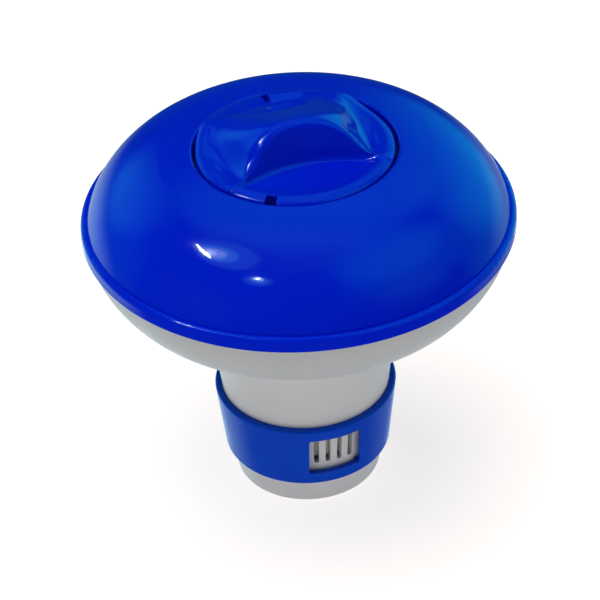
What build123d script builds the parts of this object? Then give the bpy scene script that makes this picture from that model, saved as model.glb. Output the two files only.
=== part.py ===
from build123d import *
import math
import os

# Floating tablet dispenser. Millimetres, +Z up, origin at the centre of the canister's flat base.
# Every round piece is a section drawn in radius and height, turned about the Z axis.
CENTRE_AXIS = Axis.Z
SECTION = Plane.XZ

# Driving dimensions: the canister's cone
WALL = 2.0
FLOOR = 2.2
BASE_RADIUS = 22.15
CONE_SLOPE = 0.11
CONE_TOP = 74.0
COLLAR_RADIUS = 33.5
COLLAR_HEIGHT = 2.5
TUBE_RADIUS = 31.0
TUBE_TOP = 99.4
FOOT_ROUND = 1.4

# The flow ring round the cone, and the windows and slots that it opens and shuts
RING_BOTTOM = 9.8
RING_TOP = 32.1
RING_WALL = 2.1
RING_FIT = 0.08
RING_ROUND_TOP = 0.9
RING_ROUND_BOTTOM = 0.6
RING_RELIEF = 0.6
RELIEF_BOTTOM = 13.2
RELIEF_TOP = 29.2
BEAD_HEIGHT = 11.3
BEAD_RADIUS = 0.55
WINDOW_AZIMUTH = -72.0
WINDOW_COUNT = 2
WINDOW_WIDTH = 16.4
WINDOW_BOTTOM = 14.1
WINDOW_TOP = 28.0
WINDOW_ROUND = 0.8
SLOT_COUNT = 4
SLOT_PITCH = 8.5
SLOT_WIDTH = 1.6
SLOT_BOTTOM = 16.7
SLOT_TOP = 27.6
DRAIN_COUNT = 6
DRAIN_RADIUS = 1.5
DRAIN_CIRCLE = 13.0

# The float: a lower shell of one arc, and a domed upper shell with a rim flange
SHELL = 2.2
RIM_HEIGHT = 90.2
RIM_FIT = 0.02
HULL_CENTRE_RADIUS = 32.6
HULL_CENTRE_HEIGHT = 95.4
HULL_ARC = 30.8
NECK_FIT = 0.05
NECK_TOP = 72.4
SPIGOT_OUTER = 60.9
SPIGOT_INNER = 58.9
SPIGOT_TOP = 92.4
SPIGOT_FOOT = 86.6
FLANGE_RADIUS = 63.8
FLANGE_BORE = 61.0
FLANGE_TOP = 94.6
FLANGE_ROUND_TOP = 1.4
FLANGE_ROUND_BOTTOM = 0.7
STEP_RADIUS = 61.9
STEP_TOP = 95.1
SEAT_HEIGHT = 93.6
SEAT_INNER = 59.4
DOME_BASE_RADIUS = 61.8
DOME_BASE_HEIGHT = 95.1
DOME_BASE_SLOPE = -70.0
CROWN_RADIUS = 40.0
CROWN_HEIGHT = 114.4
CROWN_SLOPE = -13.0
DOME_TOP = 116.2
DOME_TOP_SLOPE = -7.0

# The filling throat in the dome: mouth, bayonet ledge, lug space and canister socket
MOUTH_RADIUS = 29.8
MOUTH_ROUND = 0.9
THROAT_OUTER = 32.0
THROAT_WIDENS = 103.0
SOCKET_OUTER = 33.2
SOCKET_BOTTOM = 96.4
SOCKET_FIT = 0.05
SOCKET_TOP = 100.8
LUG_BORE = 29.5
LEDGE_BORE = 26.8
LEDGE_BOTTOM = 104.8
LEDGE_TOP = 107.0
ENTRY_ANGLE = 24.0
STOP_ANGLE = 4.0
STOP_GAP = 1.5
STOP_BORE = 27.2

# The twist cap, which is drawn unlocked, with its lugs below the entry gaps
CAP_RADIUS = 28.6
CAP_TOP = 116.4
CAP_ROUND = 0.9
CAP_BRIM_RADIUS = 27.0
CAP_DISH_RADIUS = 20.4
CAP_DISH_DEPTH = 1.5
CAP_BOTTOM = 107.3
CAP_PLATE = 2.2
DISH_HEIGHT = CAP_TOP - CAP_DISH_DEPTH
PLATE_BOTTOM = DISH_HEIGHT - CAP_PLATE
SKIRT_RADIUS = 26.3
SKIRT_BORE = 24.1
SKIRT_BOTTOM = 100.6
LUG_COUNT = 2
LUG_AZIMUTH = -105.0
LUG_ANGLE = 18.0
LUG_RADIUS = 28.8
LUG_BOTTOM = 101.2
LUG_TOP = 104.4
LOCK_ANGLE = 40.0
NOTCH_WIDTH = 3.6
NOTCH_RADIUS = 25.9
TAB_AZIMUTH = 92.0
TAB_ANGLE = 26.0
TAB_INNER = 21.0
TAB_RISE = 1.4
TAB_ROUND = 0.8
TAB_SLOT_AZIMUTH = 107.2
TAB_SLOT_WIDTH = 2.0
TAB_SLOT_DEPTH = 1.8
TAB_SLOT_INNER = 24.0

# The grip: an arched bar, waisted in plan, across the cap
GRIP_AZIMUTH = 17.0
GRIP_TOP = 127.3
GRIP_REACH = 19.5
GRIP_WAIST = 8.0
GRIP_FLARE = 13.5
GRIP_PLAN_REACH = 23.5
GRIP_DRAFT = 12.0
GRIP_ROUND = 2.4

# Soft rings and the tablets
SEAL_ROUND = 0.4
SEAL_FIT = 0.05
CAP_SEAL_SECTION = 1.2
CAP_SEAL_RADIUS = 28.28
CAP_SEAL_HEIGHT = 111.9
CAP_GROOVE_RADIUS = 27.0
CAP_GROOVE_HALF = 1.3
TABLET_RADIUS = 12.7
TABLET_THICKNESS = 14.0
TABLET_EDGE = 1.2
TABLET_PLACES = [(2.2, -7.4), (2.6, -8.4), (-6.5, 3.0), (4.0, 7.0)]


def cone_radius(height):
    """Outer radius of the canister's cone at a height."""
    return BASE_RADIUS + CONE_SLOPE * height


def block(inner, outer, bottom, top):
    """A rectangular section between two radii and two heights."""
    centre = Location(((inner + outer) / 2, (bottom + top) / 2))
    return centre * Rectangle(outer - inner, top - bottom)


def outline(*points):
    """A closed section with straight sides."""
    return make_face(Polyline(*points, close=True))


def rounded(section, radius, *corners):
    """Round the corners of a section that lie nearest to the given points."""
    picked = []
    for corner in corners:
        picked.append(section.vertices().sort_by_distance(Vector(*corner))[0])
    return fillet(picked, radius)


def turned(section, angle=360.0, azimuth=0.0):
    """Turn a section about the Z axis, centred on an azimuth when it is not a full turn."""
    solid = revolve(SECTION * section, CENTRE_AXIS, angle)
    if angle < 360.0:
        solid = Rot(0, 0, azimuth - angle / 2) * solid
    return solid


def facing_out(azimuth, height):
    """A plane on the Z axis that faces outwards along an azimuth."""
    direction = Vector(math.cos(math.radians(azimuth)), math.sin(math.radians(azimuth)), 0)
    across = Vector(-math.sin(math.radians(azimuth)), math.cos(math.radians(azimuth)), 0)
    return Plane(origin=Vector(0, 0, height), x_dir=across, z_dir=direction)


def opposite_azimuths(first, count):
    """Azimuths spaced evenly round the axis."""
    return [first + 360.0 * number / count for number in range(count)]


def tablet_canister():
    """The cone that holds the tablets, with a collar and a tube that reaches the filling throat."""
    inner_foot = cone_radius(FLOOR) - WALL
    inner_top = cone_radius(CONE_TOP) - WALL
    tube_bore = TUBE_RADIUS - WALL
    collar_top = CONE_TOP + COLLAR_HEIGHT
    section = outline(
        (0, 0),
        (BASE_RADIUS, 0),
        (cone_radius(CONE_TOP), CONE_TOP),
        (COLLAR_RADIUS, CONE_TOP),
        (COLLAR_RADIUS, collar_top),
        (TUBE_RADIUS, collar_top),
        (TUBE_RADIUS, TUBE_TOP),
        (tube_bore, TUBE_TOP),
        (tube_bore, collar_top),
        (inner_top, CONE_TOP),
        (inner_foot, FLOOR),
        (0, FLOOR),
    )
    section = rounded(section, FOOT_ROUND, (BASE_RADIUS, 0))
    bead = Location((cone_radius(BEAD_HEIGHT), BEAD_HEIGHT)) * Circle(BEAD_RADIUS)
    canister = turned(section + bead)
    slot_height = SLOT_TOP - SLOT_BOTTOM
    slot_middle = (SLOT_TOP + SLOT_BOTTOM) / 2
    for group in opposite_azimuths(WINDOW_AZIMUTH, WINDOW_COUNT):
        for number in range(SLOT_COUNT):
            azimuth = group + SLOT_PITCH * (number - (SLOT_COUNT - 1) / 2)
            slot = Rot(0, 0, 90) * SlotOverall(slot_height, SLOT_WIDTH)
            canister -= extrude(facing_out(azimuth, slot_middle) * slot, amount=COLLAR_RADIUS)
    for azimuth in opposite_azimuths(0, DRAIN_COUNT):
        drain = Location((DRAIN_CIRCLE, 0)) * Circle(DRAIN_RADIUS)
        canister -= Rot(0, 0, azimuth) * extrude(drain, amount=FLOOR)
    return canister


def flow_ring():
    """The ring that turns on the cone on two lands, held up by a bead in its groove."""
    inner_bottom = cone_radius(RING_BOTTOM) + RING_FIT
    inner_top = cone_radius(RING_TOP) + RING_FIT
    section = outline(
        (inner_bottom, RING_BOTTOM),
        (inner_bottom + RING_WALL, RING_BOTTOM),
        (inner_top + RING_WALL, RING_TOP),
        (inner_top, RING_TOP),
    )
    section = rounded(section, RING_ROUND_TOP, (inner_top + RING_WALL, RING_TOP))
    section = rounded(section, RING_ROUND_BOTTOM, (inner_bottom + RING_WALL, RING_BOTTOM))
    groove = Location((cone_radius(BEAD_HEIGHT), BEAD_HEIGHT)) * Circle(BEAD_RADIUS + RING_FIT)
    relief_depth = RING_FIT + RING_RELIEF
    relief = outline(
        (cone_radius(RELIEF_BOTTOM), RELIEF_BOTTOM),
        (cone_radius(RELIEF_BOTTOM) + relief_depth, RELIEF_BOTTOM + RING_RELIEF),
        (cone_radius(RELIEF_TOP) + relief_depth, RELIEF_TOP - RING_RELIEF),
        (cone_radius(RELIEF_TOP), RELIEF_TOP),
    )
    ring = turned(section - groove - relief)
    window_height = WINDOW_TOP - WINDOW_BOTTOM
    window_middle = (WINDOW_TOP + WINDOW_BOTTOM) / 2
    for azimuth in opposite_azimuths(WINDOW_AZIMUTH, WINDOW_COUNT):
        window = RectangleRounded(WINDOW_WIDTH, window_height, WINDOW_ROUND)
        ring -= extrude(facing_out(azimuth, window_middle) * window, amount=COLLAR_RADIUS)
    return ring


def chlorine_tablets():
    """Tablets of one inch in a loose stack on the canister's floor, as separate solids."""
    tablets = []
    for level, (x, y) in enumerate(TABLET_PLACES):
        disc = extrude(Circle(TABLET_RADIUS), amount=TABLET_THICKNESS)
        disc = chamfer(disc.edges().filter_by(GeomType.CIRCLE), TABLET_EDGE)
        tablets.append(Location((x, y, FLOOR + level * TABLET_THICKNESS)) * disc)
    return Compound(children=tablets)


def lower_float_shell():
    """The lower half of the float: one round arc from the rim to a neck round the cone."""
    centre = Location((HULL_CENTRE_RADIUS, HULL_CENTRE_HEIGHT))
    quarter = block(HULL_CENTRE_RADIUS, FLANGE_RADIUS, 0, RIM_HEIGHT - RIM_FIT)
    shell = (centre * (Circle(HULL_ARC) - Circle(HULL_ARC - SHELL))) & quarter
    hull_bottom = HULL_CENTRE_HEIGHT - HULL_ARC
    floor_top = hull_bottom + SHELL
    bore_bottom = cone_radius(hull_bottom) + NECK_FIT
    bore_top = cone_radius(NECK_TOP) + NECK_FIT
    neck_outer = bore_top + SHELL
    neck = outline(
        (bore_bottom, hull_bottom),
        (HULL_CENTRE_RADIUS, hull_bottom),
        (HULL_CENTRE_RADIUS, floor_top),
        (neck_outer, floor_top),
        (neck_outer, NECK_TOP),
        (bore_top, NECK_TOP),
    )
    spigot = block(SPIGOT_INNER, SPIGOT_OUTER, SPIGOT_FOOT, SPIGOT_TOP)
    return turned(shell + neck + spigot)


def inward(radius, height, slope):
    """The point one shell thickness inside an outer point, square to the slope there."""
    angle = math.radians(slope)
    return (radius + SHELL * math.sin(angle), height - SHELL * math.cos(angle))


def heading(slope):
    """The direction of an outline that leaves at a slope."""
    return (math.cos(math.radians(slope)), math.sin(math.radians(slope)))


def upper_float_shell():
    """The domed half of the float, with its rim flange, filling throat and bayonet ledge."""
    crown = TangentArc(
        (MOUTH_RADIUS, DOME_TOP), (CROWN_RADIUS, CROWN_HEIGHT), tangent=heading(DOME_TOP_SLOPE)
    )
    base = (DOME_BASE_RADIUS, DOME_BASE_HEIGHT)
    shoulder = TangentArc(crown @ 1, base, tangent=crown % 1)
    inner_base = inward(*base, DOME_BASE_SLOPE)
    inner_crown_end = inward(CROWN_RADIUS, CROWN_HEIGHT, CROWN_SLOPE)
    inner_mouth = (MOUTH_RADIUS, DOME_TOP - SHELL)
    inner_crown = TangentArc(inner_mouth, inner_crown_end, tangent=heading(DOME_TOP_SLOPE))
    inner_shoulder = TangentArc(inner_crown @ 1, inner_base, tangent=inner_crown % 1)
    foot = Line(base, inner_base)
    mouth = Line(inner_mouth, (MOUTH_RADIUS, DOME_TOP))
    dome = make_face([crown, shoulder, foot, inner_shoulder, inner_crown, mouth])
    dome += block(MOUTH_RADIUS, THROAT_OUTER, THROAT_WIDENS, DOME_TOP - SHELL)
    dome = rounded(dome, MOUTH_ROUND, (MOUTH_RADIUS, DOME_TOP))
    flange = block(FLANGE_BORE, FLANGE_RADIUS, RIM_HEIGHT, FLANGE_TOP)
    flange = rounded(flange, FLANGE_ROUND_TOP, (FLANGE_RADIUS, FLANGE_TOP))
    flange = rounded(flange, FLANGE_ROUND_BOTTOM, (FLANGE_RADIUS, RIM_HEIGHT))
    step = block(SEAT_INNER, STEP_RADIUS, SEAT_HEIGHT, STEP_TOP)
    ledge = block(LEDGE_BORE, THROAT_OUTER, LEDGE_BOTTOM, LEDGE_TOP)
    lug_wall = block(LUG_BORE, SOCKET_OUTER, SOCKET_TOP, LEDGE_BOTTOM)
    socket_bore = TUBE_RADIUS + SOCKET_FIT
    socket = block(socket_bore, SOCKET_OUTER, SOCKET_BOTTOM, SOCKET_TOP)
    shell = turned(dome + flange + step + ledge + lug_wall + socket)
    gap = block(STOP_BORE - 1, MOUTH_RADIUS, LEDGE_BOTTOM - 1, LEDGE_TOP + 1)
    stop = block(STOP_BORE, LUG_BORE + SHELL, LUG_BOTTOM, LEDGE_BOTTOM)
    stop_offset = LOCK_ANGLE + LUG_ANGLE / 2 + STOP_GAP + STOP_ANGLE / 2
    for azimuth in opposite_azimuths(LUG_AZIMUTH, LUG_COUNT):
        shell -= turned(gap, ENTRY_ANGLE, azimuth)
        shell += turned(stop, STOP_ANGLE, azimuth - stop_offset)
    return shell


def grip_form(foot, inset):
    """An arched bar: a half ellipse from the side, crossed with a waisted plan that narrows upwards."""
    rise = GRIP_TOP - inset - foot
    side = Location((0, foot)) * Ellipse(GRIP_REACH - inset, rise)
    reach = GRIP_PLAN_REACH
    waist = GRIP_WAIST - inset
    flare = GRIP_FLARE - inset
    plan = make_face([
        ThreePointArc((-reach, -flare), (0, -waist), (reach, -flare)),
        Line((reach, -flare), (reach, flare)),
        ThreePointArc((reach, flare), (0, waist), (-reach, flare)),
        Line((-reach, flare), (-reach, -flare)),
    ])
    bar = extrude(SECTION * side, amount=GRIP_PLAN_REACH, both=True)
    bar &= extrude(Location((0, 0, foot)) * plan, amount=rise + 1, taper=GRIP_DRAFT)
    return bar


def cap_plate():
    """The cap's round form: a brim that eases down into a dish, a plug skirt and a seal groove."""
    dish_edge = (CAP_BRIM_RADIUS, CAP_TOP)
    dish_foot = (CAP_DISH_RADIUS, DISH_HEIGHT)
    dish_slope = Spline(dish_foot, dish_edge, tangents=((1, 0), (1, 0)))
    sides = Polyline(
        dish_edge,
        (CAP_RADIUS, CAP_TOP),
        (CAP_RADIUS, CAP_BOTTOM),
        (SKIRT_RADIUS, CAP_BOTTOM),
        (SKIRT_RADIUS, SKIRT_BOTTOM),
        (SKIRT_BORE, SKIRT_BOTTOM),
        (SKIRT_BORE, PLATE_BOTTOM),
        (0, PLATE_BOTTOM),
        (0, DISH_HEIGHT),
        dish_foot,
    )
    section = make_face([dish_slope, sides])
    section = rounded(section, CAP_ROUND, (CAP_RADIUS, CAP_TOP))
    groove_bottom = CAP_SEAL_HEIGHT - CAP_GROOVE_HALF
    groove_top = CAP_SEAL_HEIGHT + CAP_GROOVE_HALF
    return turned(section - block(CAP_GROOVE_RADIUS, CAP_RADIUS + 1, groove_bottom, groove_top))


def cap_grip():
    """The outside of the grip, with its long top edges rounded."""
    grip = grip_form(DISH_HEIGHT, 0)
    crest = grip.faces().sort_by(Axis.Z)[-1]
    shoulders = crest.edges().filter_by(lambda edge: edge.length > GRIP_REACH)
    return Rot(0, 0, GRIP_AZIMUTH) * fillet(shoulders, GRIP_ROUND)


def cap_tab():
    """The raised tab, which ramps outwards from the dish to the cap's edge."""
    top = CAP_TOP + TAB_RISE
    ramp = Spline((TAB_INNER, DISH_HEIGHT), (CAP_RADIUS, top), tangents=((1, 0), (1, 0)))
    back = Polyline((CAP_RADIUS, top), (CAP_RADIUS, DISH_HEIGHT), (TAB_INNER, DISH_HEIGHT))
    section = rounded(make_face([ramp, back]), TAB_ROUND, (CAP_RADIUS, top))
    return turned(section, TAB_ANGLE, TAB_AZIMUTH)


def twist_cap():
    """The bayonet cap: plate, hollow grip, tab and lugs, with a notch and a slot in its edge."""
    hollow = Rot(0, 0, GRIP_AZIMUTH) * grip_form(PLATE_BOTTOM, CAP_PLATE)
    cap = cap_plate() + cap_grip() - hollow + cap_tab()
    lug = block(SKIRT_RADIUS - WALL / 2, LUG_RADIUS, LUG_BOTTOM, LUG_TOP)
    for azimuth in opposite_azimuths(LUG_AZIMUTH, LUG_COUNT):
        cap += turned(lug, LUG_ANGLE, azimuth)
    notch_height = CAP_TOP - CAP_BOTTOM
    notch = facing_out(LUG_AZIMUTH, (CAP_TOP + CAP_BOTTOM) / 2).offset(NOTCH_RADIUS)
    cap -= extrude(notch * Rectangle(NOTCH_WIDTH, notch_height), amount=CAP_RADIUS)
    slot = facing_out(TAB_SLOT_AZIMUTH, CAP_TOP).offset(TAB_SLOT_INNER)
    cap -= extrude(slot * Rectangle(TAB_SLOT_WIDTH, 2 * TAB_SLOT_DEPTH), amount=CAP_RADIUS)
    return cap


def flat_seal(inner, outer, bottom, top):
    """A rubber ring, a little smaller than its seat on every side."""
    section = block(inner + SEAL_FIT, outer - SEAL_FIT, bottom + SEAL_FIT, top - SEAL_FIT)
    return turned(fillet(section.vertices(), SEAL_ROUND))


def cap_seal():
    """The round rubber ring in the groove of the twist cap."""
    return turned(Location((CAP_SEAL_RADIUS, CAP_SEAL_HEIGHT)) * Circle(CAP_SEAL_SECTION))


def neck_seal():
    """The ring between the lower shell's neck and the canister's collar."""
    inner = cone_radius(CONE_TOP) + NECK_FIT
    outer = cone_radius(NECK_TOP) + NECK_FIT + SHELL
    return flat_seal(inner, outer, NECK_TOP, CONE_TOP)


PIECES = {
    "tablet_canister": tablet_canister(),
    "flow_ring": flow_ring(),
    "chlorine_tablets": chlorine_tablets(),
    "lower_float_shell": lower_float_shell(),
    "upper_float_shell": upper_float_shell(),
    "twist_cap": twist_cap(),
    "cap_seal": cap_seal(),
    "neck_seal": neck_seal(),
    "rim_seal": flat_seal(SEAT_INNER, FLANGE_BORE, SPIGOT_TOP, SEAT_HEIGHT),
    "throat_seal": flat_seal(LUG_BORE, TUBE_RADIUS, TUBE_TOP, SOCKET_TOP),
}

os.makedirs("parts", exist_ok=True)
for node, piece in PIECES.items():
    export_step(piece, f"parts/{node}.step")
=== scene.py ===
import math

import bpy
import numpy as np
from mathutils import Matrix, Quaternion, Vector


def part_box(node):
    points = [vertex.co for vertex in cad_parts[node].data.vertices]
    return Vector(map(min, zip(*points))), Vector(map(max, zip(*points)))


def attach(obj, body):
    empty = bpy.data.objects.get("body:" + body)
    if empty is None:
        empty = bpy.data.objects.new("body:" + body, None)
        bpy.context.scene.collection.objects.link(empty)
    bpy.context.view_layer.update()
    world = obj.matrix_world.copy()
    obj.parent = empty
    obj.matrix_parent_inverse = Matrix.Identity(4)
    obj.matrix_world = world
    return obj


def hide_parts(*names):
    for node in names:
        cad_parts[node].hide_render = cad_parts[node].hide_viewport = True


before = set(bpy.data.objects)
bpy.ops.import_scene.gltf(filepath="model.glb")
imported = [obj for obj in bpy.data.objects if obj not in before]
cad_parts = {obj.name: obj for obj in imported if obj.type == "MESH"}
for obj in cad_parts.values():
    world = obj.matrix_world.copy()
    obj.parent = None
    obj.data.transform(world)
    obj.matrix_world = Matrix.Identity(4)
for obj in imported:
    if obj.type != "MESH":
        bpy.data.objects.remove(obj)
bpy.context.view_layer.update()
RIM_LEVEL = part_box("upper_float_shell")[0].z

# The camera: its aim is the rim's centre, set off from the picture's middle
CAMERA_DISTANCE = 0.7521
CAMERA_ELEVATION = math.radians(36.77)
CAMERA_ROLL = math.radians(-2.55)
CAMERA_LENS = 153.7
SENSOR_WIDTH = 36.0
CLIP_NEAR = 0.01
AIM_ACROSS = -0.0004
AIM_UP = 0.0236

# The room, which only shows in the gloss
ROOM_COLOUR = (0.008, 0.07, 0.12)
# Paler parts of the room: direction, where it is full and where it ends (cosines), and its light
ROOM_GLOWS = [
    ((0.62, 0.72, 0.30), 0.97, 0.81, (0.02, 0.85, 1.3)),
    ((0.05, 0.45, 0.89), 0.98, 0.84, (0.05, 0.65, 1.0)),
    ((0.55, -0.14, 0.82), 0.99, 0.85, (0.04, 0.62, 0.95)),
    ((-0.62, 0.62, 0.40), 0.99, 0.90, (0.05, 0.6, 0.9)),
    ((0.0, 0.72, -0.69), 0.97, 0.93, (0.6, 0.75, 0.9)),
    ((-0.62, 0.57, -0.54), 0.97, 0.80, (0.65, 0.95, 0.95)),
    ((0.6, 0.6, -0.53), 0.96, 0.80, (0.28, 0.38, 0.5)),
    ((0.72, -0.25, 0.65), 0.97, 0.78, (0.02, 0.5, 0.5)),
    ((0.84, 0.52, 0.07), 0.96, 0.78, (0.02, 0.45, 0.3)),
    ((-0.84, 0.52, 0.07), 0.96, 0.80, (0.02, 0.3, 0.45)),
]

# The light table that the dispenser stands on
TABLE_SIZE = 8.0
TABLE_COLOUR = (1.0, 0.97, 0.95)
TABLE_GLOW = 0.76

# Colours of light
WARM = (1.0, 0.95, 0.92)
NEUTRAL = (1.0, 1.0, 1.0)
COOL = (0.2, 0.75, 1.0)
# Broad lights that don't show in the gloss: name, direction, distance, size, watts and spin
BROAD_LIGHTS = [
    ("overhead", (-0.15, 0.05, 1.0), 3.0, (3.0, 3.0), 86.0, 0.0),
    ("side_left", (-0.8, -0.5, 0.3), 2.0, (1.5, 1.0), 8.0, 0.0),
    ("side_right", (0.8, -0.5, 0.3), 2.0, (1.5, 1.0), 7.0, 0.0),
]
# Lights that only show in the gloss: the same, and a colour
GLINTS = [
    ("key_glint", (-0.548, -0.005, 0.848), 1.2, (0.02, 0.26), 3.2, 93.0, NEUTRAL),
    ("key_glow", (-0.50, -0.02, 0.87), 1.2, (0.1, 0.1), 0.2, 0.0, NEUTRAL),
    ("key_bloom", (-0.485, -0.03, 0.88), 1.2, (0.2, 0.2), 0.4, 0.0, NEUTRAL),
    ("key_halo", (-0.46, -0.04, 0.89), 1.2, (0.34, 0.3), 0.7, 0.0, COOL),
    ("key_haze", (-0.42, -0.06, 0.9), 1.2, (0.6, 0.5), 0.9, 0.0, COOL),
    ("small_glint", (-0.30, -0.47, 0.83), 1.2, (0.035, 0.035), 0.55, 0.0, NEUTRAL),
    ("small_halo", (-0.30, -0.49, 0.82), 1.2, (0.12, 0.1), 0.1, 0.0, COOL),
    ("small_haze", (-0.31, -0.5, 0.81), 1.2, (0.26, 0.2), 0.2, 0.0, COOL),
]

# The two cloudy tints of the white plastic, before its shade
WHITE_DULL = (0.94, 0.975, 1.0)
WHITE_PALE = (1.02, 1.05, 1.07)

# The moulded cap, in millimetres and degrees: as the CAD's, but with its blends drawn in, and with a
# grip whose back slopes down to the far brim
MM = 0.001
DISH_HEIGHT = 114.9
DISH_DEPTH = 1.5
DISH_RADIUS = 20.4
BRIM_RADIUS = 26.0
CAP_RADIUS = 29.0
CAP_EDGE_WIDTH = 3.8
CAP_EDGE_DROP = 1.4
CAP_SHELL = 2.2
# The grip: its turn about the cap's axis, its half-ellipse, its front wall and its rounded crest and feet
GRIP_TURN = 17.0
GRIP_SHIFT = -0.7
GRIP_REACH = 17.4
GRIP_RISE = 12.8
GRIP_WAIST = 8.2
GRIP_FLARE = 4.2
GRIP_DRAFT = 14.0
GRIP_SHOULDER = 1.7
GRIP_END_SHOULDER = 2.5
GRIP_END_SPAN = (0.4, 0.95)
GRIP_FAR_SHOULDER = 6.0
GRIP_FOOT = 1.2
GRIP_FAR_FOOT = 5.0
GRIP_END_BLEND = 6.0
# The grip's back: where its slope ends, how far it leans, and how much longer the grip is there
GRIP_BACK = 25.0
GRIP_BACK_DRAFT = 63.0
GRIP_FAN = 2.5
# The heights between which the cap's surface is looked for, how often they are halved, and the
# least length that anything is divided by
CAP_SPAN = (105.0, 130.0)
CAP_HALVINGS = 30
TINY = 0.001
# The tab at the far edge, the slot beside it, the notch at the near edge and the lugs
TAB_START = 85.0
TAB_EASE = 6.0
TAB_INNER = 22.0
TAB_RISE = 2.0
TAB_SLOT = (106.6, 110.2)
TAB_SLOT_INNER = 24.0
TAB_SLOT_DEPTH = 1.8
NOTCH_AZIMUTH = -105.8
NOTCH_HALF = 3.4
NOTCH_RADIUS = 25.9
LUG_AZIMUTHS = (-105.0, 75.0)
LUG_HALF = 9.0
LUG_RADIUS = 28.8
# Below the rim: radius and height down the outside, and the rows where the lugs stand out
CAP_SIDE = [
    (29.0, 113.2), (27.0, 113.2), (27.0, 110.6), (29.0, 110.6), (29.0, 107.3), (26.3, 107.3),
    (26.3, 104.4), (26.3, 104.4), (26.3, 101.2), (26.3, 101.2), (26.3, 100.6), (24.1, 100.6),
]
CAP_LUG_ROWS = (7, 8)
# How finely the cap's skin is divided, and the angle from which an edge stays sharp
CAP_TOP_STEPS = 90
CAP_EDGE_STEPS = 6
CAP_SPOKE_STEP = 1.25
CAP_SPOKE_PAIR = 0.03
SHARP_EDGE = 32.0

# The bead over the rim's lower edge, in metres
LIP_ROUND = 0.0007
LIP_PROUD = 0.00005
LIP_SEGMENTS = 384
LIP_ROUND_SEGMENTS = 24


def add_camera():
    """The camera at the photograph's angle, looking down at the dispenser from the front."""
    ahead = Vector((0, math.cos(CAMERA_ELEVATION), -math.sin(CAMERA_ELEVATION)))
    level_up = Vector((0, math.sin(CAMERA_ELEVATION), math.cos(CAMERA_ELEVATION)))
    level_right = Vector((1, 0, 0))
    right = math.cos(CAMERA_ROLL) * level_right + math.sin(CAMERA_ROLL) * level_up
    up = math.cos(CAMERA_ROLL) * level_up - math.sin(CAMERA_ROLL) * level_right
    aim = Vector((0, 0, RIM_LEVEL)) - AIM_ACROSS * right - AIM_UP * up
    place = aim - CAMERA_DISTANCE * ahead
    camera = bpy.data.objects.new("camera", bpy.data.cameras.new("camera"))
    camera.data.lens = CAMERA_LENS
    camera.data.sensor_width = SENSOR_WIDTH
    camera.data.clip_start = CLIP_NEAR
    camera.matrix_world = Matrix.Translation(place) @ Matrix((right, up, -ahead)).transposed().to_4x4()
    bpy.context.collection.objects.link(camera)
    bpy.context.scene.camera = camera


def add_area_light(name, direction, distance, size, power, spin, colour):
    """A soft oval light, of a width and a height, that looks at the float."""
    lamp = bpy.data.lights.new(name, "AREA")
    lamp.shape = "ELLIPSE"
    lamp.size, lamp.size_y = size
    lamp.energy = power
    lamp.color = colour
    light = bpy.data.objects.new(name, lamp)
    away = Vector(direction).normalized()
    light.location = Vector((0, 0, RIM_LEVEL)) + away * distance
    turn = away.to_track_quat("Z", "Y") @ Quaternion((0, 0, 1), math.radians(spin))
    light.rotation_euler = turn.to_euler()
    bpy.context.collection.objects.link(light)
    return light


class Graph:
    """A material's node graph, built a node at a time."""

    def __init__(self, name):
        self.material = bpy.data.materials.new(name)
        self.material.use_nodes = True
        self.tree = self.material.node_tree
        self.shader = self.tree.nodes["Principled BSDF"]
        self.place = self.add("ShaderNodeTexCoord").outputs["Object"]

    def add(self, kind, **settings):
        node = self.tree.nodes.new(kind)
        for name, value in settings.items():
            setattr(node, name, value)
        return node

    def link(self, source, socket):
        self.tree.links.new(source, socket)

    def noise(self, scale, detail=2.0, roughness=0.5):
        node = self.add("ShaderNodeTexNoise")
        node.inputs["Scale"].default_value = scale
        node.inputs["Detail"].default_value = detail
        node.inputs["Roughness"].default_value = roughness
        self.link(self.place, node.inputs["Vector"])
        return node.outputs["Fac"]

    def ramp(self, source, low, high, low_at=0.3, high_at=0.7):
        node = self.add("ShaderNodeMapRange")
        node.inputs["From Min"].default_value = low_at
        node.inputs["From Max"].default_value = high_at
        node.inputs["To Min"].default_value = low
        node.inputs["To Max"].default_value = high
        self.link(source, node.inputs["Value"])
        return node.outputs["Result"]

    def colours(self, source, first, second, low_at=0.3, high_at=0.7):
        node = self.add("ShaderNodeMix", data_type="RGBA")
        self.link(self.ramp(source, 0.0, 1.0, low_at, high_at), node.inputs["Factor"])
        node.inputs["A"].default_value = (*first, 1)
        node.inputs["B"].default_value = (*second, 1)
        return node.outputs["Result"]

    def bump(self, height, strength, distance, under=None):
        node = self.add("ShaderNodeBump")
        node.inputs["Strength"].default_value = strength
        node.inputs["Distance"].default_value = distance
        self.link(height, node.inputs["Height"])
        if under is not None:
            self.link(under, node.inputs["Normal"])
        return node.outputs["Normal"]


def blue_plastic(name, deep, light, roughness, sheen):
    """Glossy injection-moulded blue, with faint flow clouds, handling marks and a soft ripple."""
    graph = Graph(name)
    shader = graph.shader
    clouds = graph.noise(scale=38.0, detail=3.0)
    graph.link(graph.colours(clouds, deep, light), shader.inputs["Base Color"])
    marks = graph.noise(scale=120.0, detail=5.0, roughness=0.65)
    smears = graph.ramp(marks, *roughness, low_at=0.35, high_at=0.75)
    graph.link(smears, shader.inputs["Roughness"])
    soft = graph.bump(graph.noise(scale=45.0, detail=1.0), strength=0.2, distance=0.00002)
    fine = graph.bump(graph.noise(scale=900.0), strength=0.06, distance=0.00002, under=soft)
    graph.link(fine, shader.inputs["Normal"])
    shader.inputs["Specular IOR Level"].default_value = sheen
    shader.inputs["Specular Tint"].default_value = (0.8, 0.9, 1.0, 1.0)
    shader.inputs["IOR"].default_value = 1.49
    return graph.material


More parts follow.
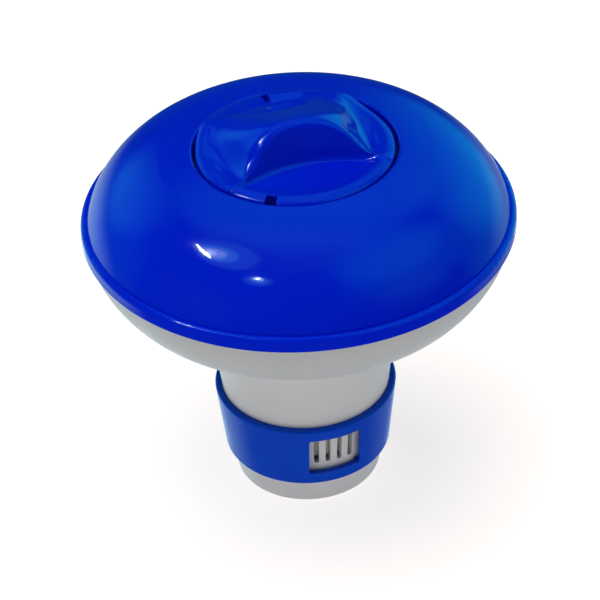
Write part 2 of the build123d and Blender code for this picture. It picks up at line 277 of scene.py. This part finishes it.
def white_plastic(name, shade):
    """Satin white plastic with a cool, slightly cloudy body and a fine moulded skin."""
    graph = Graph(name)
    shader = graph.shader
    dull = [part * shade for part in WHITE_DULL]
    pale = [part * shade for part in WHITE_PALE]
    clouds = graph.noise(scale=30.0, detail=4.0)
    graph.link(graph.colours(clouds, dull, pale), shader.inputs["Base Color"])
    satin = graph.ramp(graph.noise(scale=150.0, detail=4.0), low=0.32, high=0.46)
    graph.link(satin, shader.inputs["Roughness"])
    soft = graph.bump(graph.noise(scale=40.0, detail=1.0), strength=0.2, distance=0.00003)
    fine = graph.bump(graph.noise(scale=1400.0), strength=0.12, distance=0.00001, under=soft)
    graph.link(fine, shader.inputs["Normal"])
    shader.inputs["Specular IOR Level"].default_value = 0.25
    shader.inputs["Subsurface Weight"].default_value = 0.15
    shader.inputs["Subsurface Scale"].default_value = 0.002
    shader.inputs["IOR"].default_value = 1.5
    return graph.material


def rubber(name):
    """Matte black rubber with a fine dusty bloom."""
    graph = Graph(name)
    shader = graph.shader
    bloom = graph.noise(scale=220.0, detail=4.0)
    dust = graph.colours(bloom, first=(0.012, 0.012, 0.013), second=(0.03, 0.03, 0.031))
    graph.link(dust, shader.inputs["Base Color"])
    matte = graph.ramp(graph.noise(scale=500.0, detail=3.0), low=0.55, high=0.8)
    graph.link(matte, shader.inputs["Roughness"])
    grain = graph.bump(graph.noise(scale=1500.0), strength=0.3, distance=0.00003)
    graph.link(grain, shader.inputs["Normal"])
    return graph.material


def pressed_chlorine(name):
    """Pressed white granules: a chalky, pitted tablet."""
    graph = Graph(name)
    shader = graph.shader
    grain = graph.noise(scale=1100.0, detail=4.0, roughness=0.7)
    chalk = graph.colours(grain, first=(0.72, 0.73, 0.70), second=(0.88, 0.89, 0.87))
    graph.link(chalk, shader.inputs["Base Color"])
    graph.link(graph.ramp(grain, low=0.75, high=0.95), shader.inputs["Roughness"])
    graph.link(graph.bump(grain, strength=0.6, distance=0.0002), shader.inputs["Normal"])
    return graph.material


def light_table(name):
    """A plain pale studio table, lit softly from below."""
    graph = Graph(name)
    shader = graph.shader
    pale = graph.colours(graph.noise(scale=6.0), first=(0.46, 0.46, 0.46), second=(0.49, 0.49, 0.49))
    graph.link(pale, shader.inputs["Base Color"])
    shader.inputs["Roughness"].default_value = 0.9
    shader.inputs["Specular IOR Level"].default_value = 0.1
    shader.inputs["Emission Color"].default_value = (*TABLE_COLOUR, 1.0)
    shader.inputs["Emission Strength"].default_value = TABLE_GLOW
    return graph.material


def ease(value, start, end):
    """A smooth step from 0 at start to 1 at end."""
    part = np.clip((value - start) / (end - start), 0, 1)
    return part * part * (3 - 2 * part)


def filleted(first, second, radius):
    """The union of two signed distances, with a round fillet where they meet."""
    corner = np.hypot(np.maximum(radius - first, 0), np.maximum(radius - second, 0))
    return np.maximum(radius, np.minimum(first, second)) - corner


def leaning(outward, rise, draft):
    """The signed distance from a wall that leans back by its draft as it rises."""
    lean = math.radians(draft)
    return outward * math.cos(lean) + rise * math.sin(lean)


def arch_distance(rise, along, length):
    """About how far a point lies outside the half-ellipse that the grip is from the front."""
    high, far = rise / GRIP_RISE, along / length
    reach = np.maximum(np.hypot(high, far), TINY)
    return (reach - 1) * reach / np.maximum(np.hypot(high / GRIP_RISE, far / length), TINY)


def crest_radius(far, back):
    """The rounding of the grip's crest, which is softer towards its left end and at its back."""
    front = GRIP_SHOULDER + GRIP_END_SHOULDER * ease(-far, *GRIP_END_SPAN)
    return front + (GRIP_FAR_SHOULDER - front) * back


def cap_distance(x, y, z):
    """How far a point lies above the dish and its grip, in millimetres."""
    turn = math.radians(GRIP_TURN)
    along = x * math.cos(turn) + y * math.sin(turn) - GRIP_SHIFT
    across = y * math.cos(turn) - x * math.sin(turn)
    back = ease(across, -GRIP_WAIST, GRIP_WAIST)
    length = GRIP_REACH + GRIP_FAN * back
    far = along / length
    rise = z - DISH_HEIGHT
    dish = rise - DISH_DEPTH * ease(np.hypot(x, y), DISH_RADIUS, BRIM_RADIUS)
    front = leaning(-across - GRIP_WAIST - GRIP_FLARE * far * far, rise, GRIP_DRAFT)
    slope = leaning(across - GRIP_BACK, rise, GRIP_BACK_DRAFT)
    foot = GRIP_FOOT + (GRIP_FAR_FOOT - GRIP_FOOT) * back
    over = filleted(dish, arch_distance(rise, along, length), GRIP_END_BLEND)
    beside = filleted(dish, np.maximum(front, slope), foot)
    return -filleted(-over, -beside, crest_radius(far, back) * ease(dish, 0, GRIP_RISE / 2))


def cap_height(x, y, inset):
    """The height of the cap's surface, or of the level a distance inside it."""
    low = np.full_like(x, CAP_SPAN[0])
    high = np.full_like(x, CAP_SPAN[1])
    for _ in range(CAP_HALVINGS):
        middle = (low + high) / 2
        inside = cap_distance(x, y, middle) < -inset
        low = np.where(inside, middle, low)
        high = np.where(inside, high, middle)
    return (low + high) / 2


def cap_spokes():
    """Azimuths round the cap, with close pairs at the sides of the notch, the lugs and the slot."""
    edges = [NOTCH_AZIMUTH - NOTCH_HALF, NOTCH_AZIMUTH + NOTCH_HALF, *TAB_SLOT]
    for azimuth in LUG_AZIMUTHS:
        edges += [azimuth - LUG_HALF, azimuth + LUG_HALF]
    regular = np.arange(-180.0, 180.0, CAP_SPOKE_STEP)
    clear = [a for a in regular if min(abs(a - edge) for edge in edges) > CAP_SPOKE_STEP / 2]
    pairs = [edge + side for edge in edges for side in (-CAP_SPOKE_PAIR, CAP_SPOKE_PAIR)]
    return np.array(sorted(clear + pairs))


def top_height(radius, azimuth):
    """The height of the cap's top at a radius, with the tab and the slot beside it."""
    cos, sin = np.cos(np.radians(azimuth)), np.sin(np.radians(azimuth))
    tab = ease(azimuth, TAB_START - TAB_EASE, TAB_START + TAB_EASE) * (azimuth < TAB_SLOT[0])
    height = cap_height(radius * cos, radius * sin, 0.0)
    height = height + TAB_RISE * tab * ease(radius, TAB_INNER, CAP_RADIUS)
    in_slot = (azimuth > TAB_SLOT[0]) & (azimuth < TAB_SLOT[1]) & (radius > TAB_SLOT_INNER)
    return np.where(in_slot, DISH_HEIGHT + DISH_DEPTH - TAB_SLOT_DEPTH, height)


def top_rings(azimuth):
    """The rings of the cap's top, from its middle out and over its edge."""
    flat_radius = CAP_RADIUS - CAP_EDGE_WIDTH
    radii = np.linspace(0, flat_radius, CAP_TOP_STEPS)[1:]
    rings = [(radius, top_height(radius, azimuth)) for radius in radii]
    rim = top_height(flat_radius, azimuth)
    for bend in np.linspace(0, math.pi / 2, CAP_EDGE_STEPS)[1:]:
        fall = CAP_EDGE_DROP * (1 - math.cos(bend))
        rings.append((flat_radius + CAP_EDGE_WIDTH * math.sin(bend), rim - fall))
    return rings


def side_rings(azimuth):
    """The rings down the cap's side, past the seal's groove and the lugs."""
    on_lug = np.min([np.abs(azimuth - lug) for lug in LUG_AZIMUTHS], axis=0) < LUG_HALF
    rings = []
    for row, (radius, height) in enumerate(CAP_SIDE):
        stands_out = on_lug & (row in CAP_LUG_ROWS)
        rings.append((np.where(stands_out, LUG_RADIUS, radius), height))
    return rings


def under_rings(azimuth):
    """The rings of the cap's underside, from its skirt in to its middle."""
    cos, sin = np.cos(np.radians(azimuth)), np.sin(np.radians(azimuth))
    rings = []
    for radius in np.linspace(CAP_SIDE[-1][0], 0, CAP_TOP_STEPS // 2)[:-1]:
        under = cap_height(radius * cos, radius * sin, CAP_SHELL)
        rings.append((radius, np.where(radius > DISH_RADIUS, DISH_HEIGHT - CAP_SHELL, under)))
    return rings


def cap_rings(azimuth):
    """The rings of the cap's skin, outside then inside: a radius and a height for each spoke."""
    in_notch = np.abs(azimuth - NOTCH_AZIMUTH) < NOTCH_HALF
    rings = []
    for radius, height in top_rings(azimuth) + side_rings(azimuth) + under_rings(azimuth):
        radius = np.where(in_notch, np.minimum(radius, NOTCH_RADIUS), radius)
        rings.append((radius, height + 0 * azimuth))
    return rings


def cap_skin():
    """The points of the cap's skin, in metres, and the faces between them."""
    azimuth = cap_spokes()
    cos, sin = np.cos(np.radians(azimuth)), np.sin(np.radians(azimuth))
    count = len(azimuth)
    points = []
    for radius, height in cap_rings(azimuth):
        points += zip(radius * cos * MM, radius * sin * MM, height * MM)
    last = len(points) - count
    middle = np.zeros(1)
    for inset in (0.0, CAP_SHELL):
        points.append((0, 0, float(cap_height(middle, middle, inset)[0]) * MM))
    faces = []
    for ring in range(0, last, count):
        for spoke in range(count):
            here, there = ring + spoke, ring + (spoke + 1) % count
            faces.append((here, here + count, there + count, there))
    for spoke in range(count):
        after = (spoke + 1) % count
        faces.append((len(points) - 2, spoke, after))
        faces.append((len(points) - 1, last + after, last + spoke))
    return points, faces


def add_moulded_cap(material):
    """The cap as one moulded skin, in place of the CAD's."""
    points, faces = cap_skin()
    mesh = bpy.data.meshes.new("moulded_cap")
    mesh.from_pydata(points, [], faces)
    mesh.polygons.foreach_set("use_smooth", [True] * len(mesh.polygons))
    mesh.set_sharp_from_angle(angle=math.radians(SHARP_EDGE))
    mesh.materials.append(material)
    cap = bpy.data.objects.new("moulded_cap", mesh)
    bpy.context.collection.objects.link(cap)
    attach(cap, "cap")
    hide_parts("twist_cap")


def dress(node, material):
    """Give a CAD node a material in place of its packed one."""
    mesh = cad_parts[node].data
    mesh.materials.clear()
    mesh.materials.append(material)


def add_rim_lip(material):
    """A finely divided bead over the rim's lower edge, so that its outline is smooth."""
    low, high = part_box("upper_float_shell")
    bpy.ops.mesh.primitive_torus_add(
        major_segments=LIP_SEGMENTS,
        minor_segments=LIP_ROUND_SEGMENTS,
        major_radius=high.x - LIP_ROUND,
        minor_radius=LIP_ROUND + LIP_PROUD,
        location=(0, 0, low.z + LIP_ROUND),
    )
    lip = bpy.context.object
    lip.name = "rim_lip"
    lip.data.polygons.foreach_set("use_smooth", [True] * len(lip.data.polygons))
    lip.data.materials.append(material)
    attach(lip, "float")


def add_floor():
    """The floor that the dispenser stands on."""
    bpy.ops.mesh.primitive_plane_add(size=TABLE_SIZE)
    floor = bpy.context.object
    floor.name = "floor"
    floor.data.materials.append(light_table("light_table"))
    floor.visible_glossy = False


def add_glow(tree, place, direction, full, end):
    """A value that is 1 round a direction of the room and eases to 0 away from it."""
    dot = tree.nodes.new("ShaderNodeVectorMath")
    dot.operation = "DOT_PRODUCT"
    tree.links.new(place, dot.inputs[0])
    dot.inputs[1].default_value = Vector(direction).normalized()
    glow = tree.nodes.new("ShaderNodeMapRange")
    glow.interpolation_type = "SMOOTHSTEP"
    glow.inputs["From Min"].default_value = end
    glow.inputs["From Max"].default_value = full
    tree.links.new(dot.outputs["Value"], glow.inputs["Value"])
    return glow.outputs["Result"]


def add_room():
    """A dim, cool room with a few soft paler parts, which only the gloss picks up."""
    world = bpy.data.worlds.new("studio")
    world.use_nodes = True
    world.cycles_visibility.diffuse = False
    tree = world.node_tree
    place = tree.nodes.new("ShaderNodeTexCoord").outputs["Generated"]
    total = None
    for direction, full, end, colour in ROOM_GLOWS:
        light = tree.nodes.new("ShaderNodeVectorMath")
        light.operation = "MULTIPLY_ADD"
        tree.links.new(add_glow(tree, place, direction, full, end), light.inputs[0])
        light.inputs[1].default_value = colour
        light.inputs[2].default_value = ROOM_COLOUR
        if total is not None:
            tree.links.new(total, light.inputs[2])
        total = light.outputs["Vector"]
    tree.links.new(total, tree.nodes["Background"].inputs["Color"])
    bpy.context.scene.world = world


def light_studio():
    """The room, the broad lights that don't show in the gloss, and the small ones that only glint."""
    add_room()
    for name, *settings in BROAD_LIGHTS:
        add_area_light(name, *settings, WARM).visible_glossy = False
    for name, *settings in GLINTS:
        add_area_light(name, *settings).visible_diffuse = False


bpy.context.scene.view_settings.view_transform = "Standard"
add_camera()
add_floor()
light_studio()

dome_blue = blue_plastic(
    "dome_blue", deep=(0.0, 0.01, 0.6), light=(0.0, 0.014, 0.64), roughness=(0.06, 0.1), sheen=0.32
)
ring_blue = blue_plastic(
    "ring_blue", deep=(0.0, 0.045, 0.5), light=(0.0, 0.052, 0.55), roughness=(0.22, 0.3), sheen=0.12
)
float_white = white_plastic("float_white", shade=0.465)
cup_white = white_plastic("cup_white", shade=0.575)
black = rubber("black_rubber")
dress("upper_float_shell", dome_blue)
add_moulded_cap(dome_blue)
add_rim_lip(dome_blue)
dress("flow_ring", ring_blue)
dress("lower_float_shell", float_white)
dress("tablet_canister", cup_white)
dress("chlorine_tablets", pressed_chlorine("pressed_chlorine"))
for seal in ("cap_seal", "neck_seal", "rim_seal", "throat_seal"):
    dress(seal, black)
